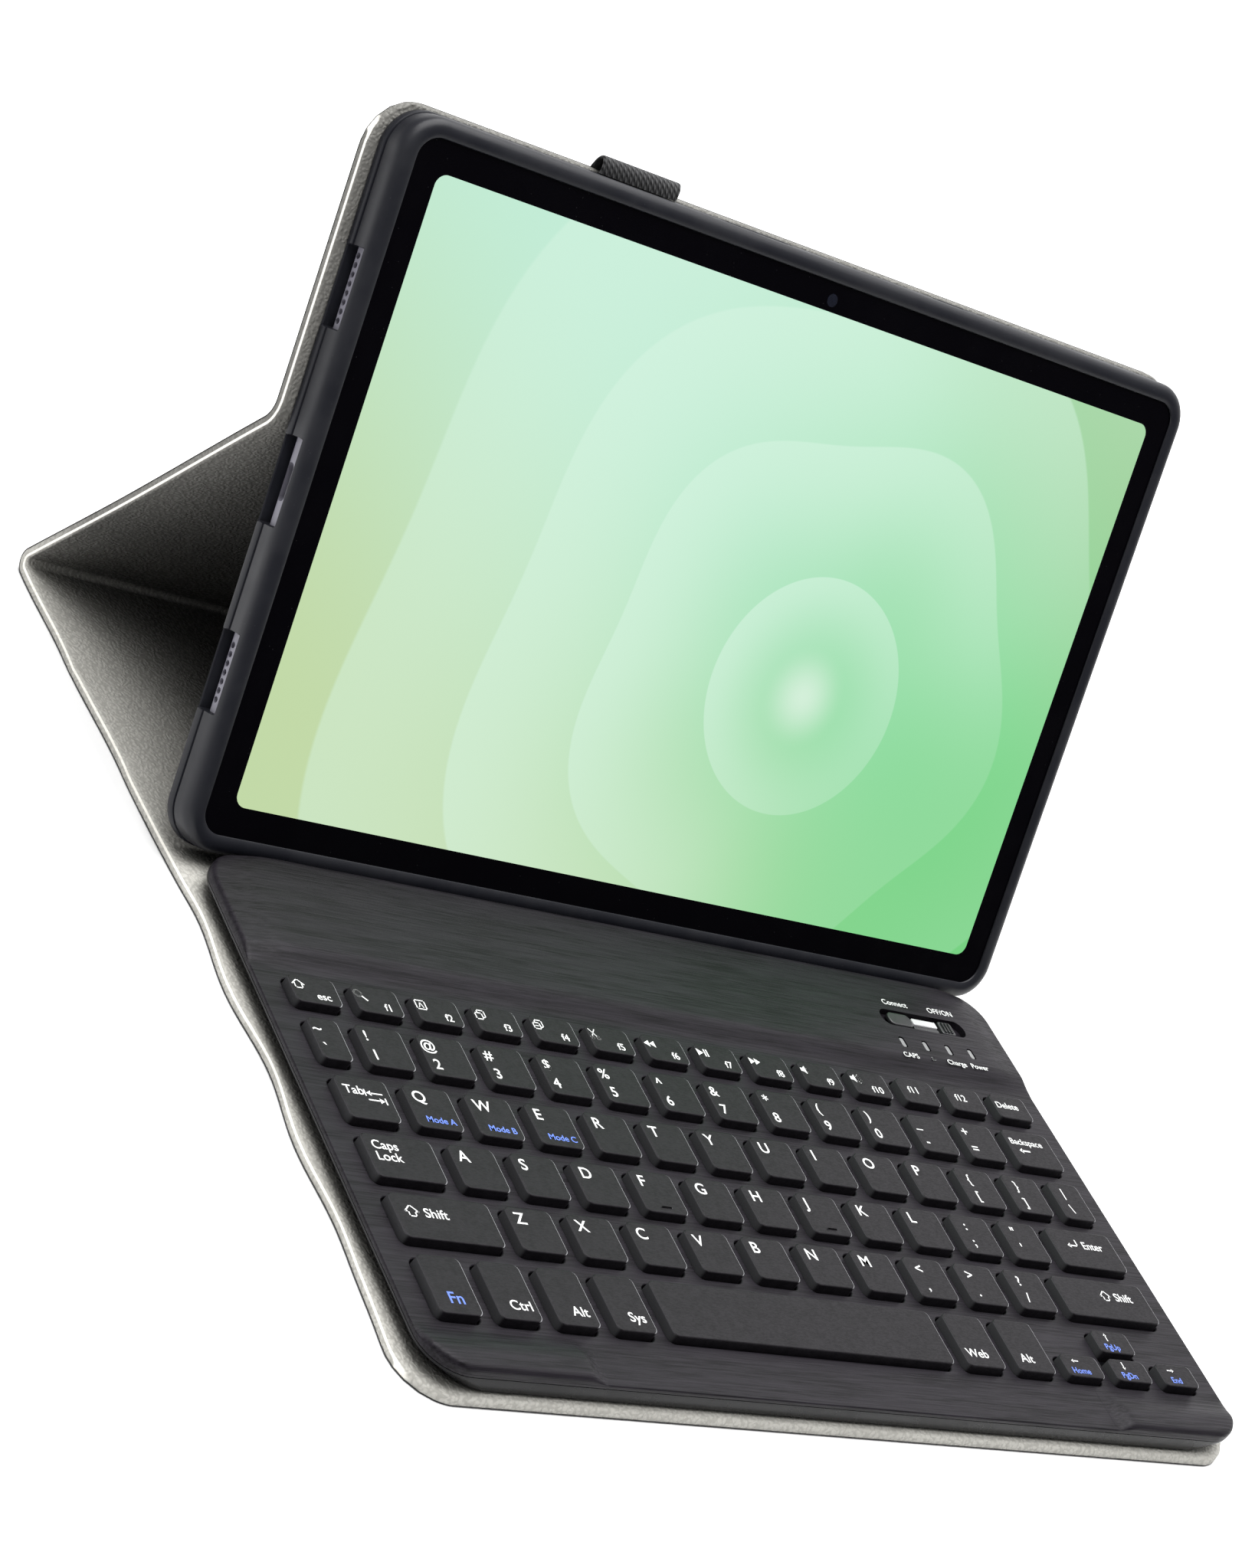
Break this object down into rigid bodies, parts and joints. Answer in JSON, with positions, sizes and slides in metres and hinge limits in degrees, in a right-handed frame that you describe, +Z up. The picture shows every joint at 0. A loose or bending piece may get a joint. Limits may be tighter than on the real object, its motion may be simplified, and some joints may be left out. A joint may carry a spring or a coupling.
{
  "type": "tablet keyboard case",
  "caption": "Folding tablet case: the tray leans on an easel fold of the soft cover, with a low detachable keyboard on the front panel and an elastic pen loop.",
  "frame": {"origin": "centre of the front cover's underside, where it rests on the table", "axes": "+X to the user's right, +Y away from the user, +Z up"},
  "size_m": [0.267, 0.26, 0.1631],
  "materials": {
    "cover_skin": "fine grained, black",
    "cover_lining": "pebbled, warm grey",
    "tray": "satin blue-black",
    "elastic": "ribbed weave",
    "tablet_metal": "satin grey",
    "glass_black": "polished black glass border",
    "screen": "lit display under glass",
    "lens": "clear over black",
    "board_shell": "smooth black",
    "board_plate": "brushed grain along the width",
    "key": "brushed grain, white legends",
    "control": "smooth",
    "light": "milky white",
    "feet": "matt"
  },
  "bodies": {
    "front_cover": {"front_cover_skin": "cover_skin", "front_cover_lining": "cover_lining"},
    "gusset_front": {"gusset_front_skin": "cover_skin", "gusset_front_lining": "cover_lining"},
    "gusset_rear": {"gusset_rear_skin": "cover_skin", "gusset_rear_lining": "cover_lining"},
    "riser": {"riser_skin": "cover_skin", "riser_lining": "cover_lining"},
    "tray": {"upper_cover_skin": "cover_skin", "upper_cover_lining": "cover_lining", "tray_shell": "tray", "pen_loop": "elastic", "tablet_body": "tablet_metal", "tablet_glass": "glass_black", "tablet_display": "screen", "port_tongue": "control", "rear_camera_rim": "tablet_metal", "rear_camera_lens": "lens", "front_camera": "lens"},
    "volume_cover": {"volume_cover": "tray"},
    "power_cover": {"power_cover": "tray"},
    "keyboard": {"keyboard_shell": "board_shell", "keyboard_feet": "feet", "keyboard_plate": "board_plate", "rear_strip": "board_plate", "corner_pad_left": "board_plate", "corner_pad_right": "board_plate", "status_light": "light", "indicator_windows": "light"},
    "connect_button": {"connect_button": "control"},
    "switch_knob": {"switch_knob": "control"},
    "key_escape": {"key_escape": "key"},
    "key_delete": {"key_delete": "key"},
    "key_backspace": {"key_backspace": "key"},
    "key_tab": {"key_tab": "key"},
    "key_caps_lock": {"key_caps_lock": "key"},
    "key_enter": {"key_enter": "key"},
    "key_shift_left": {"key_shift_left": "key"},
    "key_shift_right": {"key_shift_right": "key"},
    "key_function_lock": {"key_function_lock": "key"},
    "key_control": {"key_control": "key"},
    "key_alt_left": {"key_alt_left": "key"},
    "key_home_screen": {"key_home_screen": "key"},
    "key_space": {"key_space": "key"},
    "key_search": {"key_search": "key"},
    "key_alt_right": {"key_alt_right": "key"},
    "key_left": {"key_left": "key"},
    "key_down": {"key_down": "key"},
    "key_right": {"key_right": "key"},
    "key_up": {"key_up": "key"},
    "keys_function": {"keys_function": "key"},
    "keys_number": {"keys_number": "key"},
    "keys_upper": {"keys_upper": "key"},
    "keys_home": {"keys_home": "key"},
    "keys_lower": {"keys_lower": "key"}
  },
  "joints": [
    {"name": "front_crease", "type": "hinge", "parent": "front_cover", "child": "gusset_front", "pos_m": [0, 0.09, 0.00125], "axis": [1, 0, 0], "range_deg": [0, 15.61]},
    {"name": "tail_crease", "type": "hinge", "parent": "gusset_front", "child": "gusset_rear", "pos_m": [0, 0.1305, 0.00125], "axis": [1, 0, 0], "range_deg": [0, 148.81]},
    {"name": "rear_crease", "type": "hinge", "parent": "gusset_rear", "child": "riser", "pos_m": [0, 0.171, 0.00125], "axis": [1, 0, 0], "range_deg": [-106.41, 0]},
    {"name": "top_fold", "type": "hinge", "parent": "riser", "child": "tray", "pos_m": [0, 0.1149, 0.09103], "axis": [1, 0, 0], "range_deg": [0, 57.83]},
    {"name": "volume_cover_press", "type": "slide", "parent": "tray", "child": "volume_cover", "axis": [0, -0.4357, -0.9001], "range_m": [0, 0.0007], "stiffness_N_per_m": 1500, "springref_m": -0.00035},
    {"name": "power_cover_press", "type": "slide", "parent": "tray", "child": "power_cover", "axis": [0, -0.4357, -0.9001], "range_m": [0, 0.0007], "stiffness_N_per_m": 1500, "springref_m": -0.00035},
    {"name": "keyboard_removal", "type": "slide", "parent": "front_cover", "child": "keyboard", "axis": [0, -1, 0], "range_m": [0, 0.16]},
    {"name": "connect_button_press", "type": "slide", "parent": "keyboard", "child": "connect_button", "axis": [0, 0, -1], "range_m": [0, 0.0007], "stiffness_N_per_m": 600, "springref_m": -0.00035},
    {"name": "switch_slide", "type": "slide", "parent": "keyboard", "child": "switch_knob", "axis": [1, 0, 0], "range_m": [0, 0.0022]},
    {"name": "key_escape_press", "type": "slide", "parent": "keyboard", "child": "key_escape", "axis": [0, 0, -1], "range_m": [0, 0.0016], "stiffness_N_per_m": 400, "springref_m": -0.0008},
    {"name": "key_delete_press", "type": "slide", "parent": "keyboard", "child": "key_delete", "axis": [0, 0, -1], "range_m": [0, 0.0016], "stiffness_N_per_m": 400, "springref_m": -0.0008},
    {"name": "key_backspace_press", "type": "slide", "parent": "keyboard", "child": "key_backspace", "axis": [0, 0, -1], "range_m": [0, 0.0016], "stiffness_N_per_m": 400, "springref_m": -0.0008},
    {"name": "key_tab_press", "type": "slide", "parent": "keyboard", "child": "key_tab", "axis": [0, 0, -1], "range_m": [0, 0.0016], "stiffness_N_per_m": 400, "springref_m": -0.0008},
    {"name": "key_caps_lock_press", "type": "slide", "parent": "keyboard", "child": "key_caps_lock", "axis": [0, 0, -1], "range_m": [0, 0.0016], "stiffness_N_per_m": 400, "springref_m": -0.0008},
    {"name": "key_enter_press", "type": "slide", "parent": "keyboard", "child": "key_enter", "axis": [0, 0, -1], "range_m": [0, 0.0016], "stiffness_N_per_m": 400, "springref_m": -0.0008},
    {"name": "key_shift_left_press", "type": "slide", "parent": "keyboard", "child": "key_shift_left", "axis": [0, 0, -1], "range_m": [0, 0.0016], "stiffness_N_per_m": 400, "springref_m": -0.0008},
    {"name": "key_shift_right_press", "type": "slide", "parent": "keyboard", "child": "key_shift_right", "axis": [0, 0, -1], "range_m": [0, 0.0016], "stiffness_N_per_m": 400, "springref_m": -0.0008},
    {"name": "key_function_lock_press", "type": "slide", "parent": "keyboard", "child": "key_function_lock", "axis": [0, 0, -1], "range_m": [0, 0.0016], "stiffness_N_per_m": 400, "springref_m": -0.0008},
    {"name": "key_control_press", "type": "slide", "parent": "keyboard", "child": "key_control", "axis": [0, 0, -1], "range_m": [0, 0.0016], "stiffness_N_per_m": 400, "springref_m": -0.0008},
    {"name": "key_alt_left_press", "type": "slide", "parent": "keyboard", "child": "key_alt_left", "axis": [0, 0, -1], "range_m": [0, 0.0016], "stiffness_N_per_m": 400, "springref_m": -0.0008},
    {"name": "key_home_screen_press", "type": "slide", "parent": "keyboard", "child": "key_home_screen", "axis": [0, 0, -1], "range_m": [0, 0.0016], "stiffness_N_per_m": 400, "springref_m": -0.0008},
    {"name": "key_space_press", "type": "slide", "parent": "keyboard", "child": "key_space", "axis": [0, 0, -1], "range_m": [0, 0.0016], "stiffness_N_per_m": 400, "springref_m": -0.0008},
    {"name": "key_search_press", "type": "slide", "parent": "keyboard", "child": "key_search", "axis": [0, 0, -1], "range_m": [0, 0.0016], "stiffness_N_per_m": 400, "springref_m": -0.0008},
    {"name": "key_alt_right_press", "type": "slide", "parent": "keyboard", "child": "key_alt_right", "axis": [0, 0, -1], "range_m": [0, 0.0016], "stiffness_N_per_m": 400, "springref_m": -0.0008},
    {"name": "key_left_press", "type": "slide", "parent": "keyboard", "child": "key_left", "axis": [0, 0, -1], "range_m": [0, 0.0016], "stiffness_N_per_m": 400, "springref_m": -0.0008},
    {"name": "key_down_press", "type": "slide", "parent": "keyboard", "child": "key_down", "axis": [0, 0, -1], "range_m": [0, 0.0016], "stiffness_N_per_m": 400, "springref_m": -0.0008},
    {"name": "key_right_press", "type": "slide", "parent": "keyboard", "child": "key_right", "axis": [0, 0, -1], "range_m": [0, 0.0016], "stiffness_N_per_m": 400, "springref_m": -0.0008},
    {"name": "key_up_press", "type": "slide", "parent": "keyboard", "child": "key_up", "axis": [0, 0, -1], "range_m": [0, 0.0016], "stiffness_N_per_m": 400, "springref_m": -0.0008},
    {"name": "keys_function_press", "type": "slide", "parent": "keyboard", "child": "keys_function", "axis": [0, 0, -1], "range_m": [0, 0.0016], "stiffness_N_per_m": 4800, "springref_m": -0.0008},
    {"name": "keys_number_press", "type": "slide", "parent": "keyboard", "child": "keys_number", "axis": [0, 0, -1], "range_m": [0, 0.0016], "stiffness_N_per_m": 5200, "springref_m": -0.0008},
    {"name": "keys_upper_press", "type": "slide", "parent": "keyboard", "child": "keys_upper", "axis": [0, 0, -1], "range_m": [0, 0.0016], "stiffness_N_per_m": 5200, "springref_m": -0.0008},
    {"name": "keys_home_press", "type": "slide", "parent": "keyboard", "child": "keys_home", "axis": [0, 0, -1], "range_m": [0, 0.0016], "stiffness_N_per_m": 4400, "springref_m": -0.0008},
    {"name": "keys_lower_press", "type": "slide", "parent": "keyboard", "child": "keys_lower", "axis": [0, 0, -1], "range_m": [0, 0.0016], "stiffness_N_per_m": 4000, "springref_m": -0.0008}
  ],
  "couplings": [
    {"joint": "front_crease", "follows": "top_fold", "ratio": 0.26976},
    {"joint": "tail_crease", "follows": "top_fold", "ratio": 2.5731},
    {"joint": "rear_crease", "follows": "top_fold", "ratio": -1.8399}
  ]
}
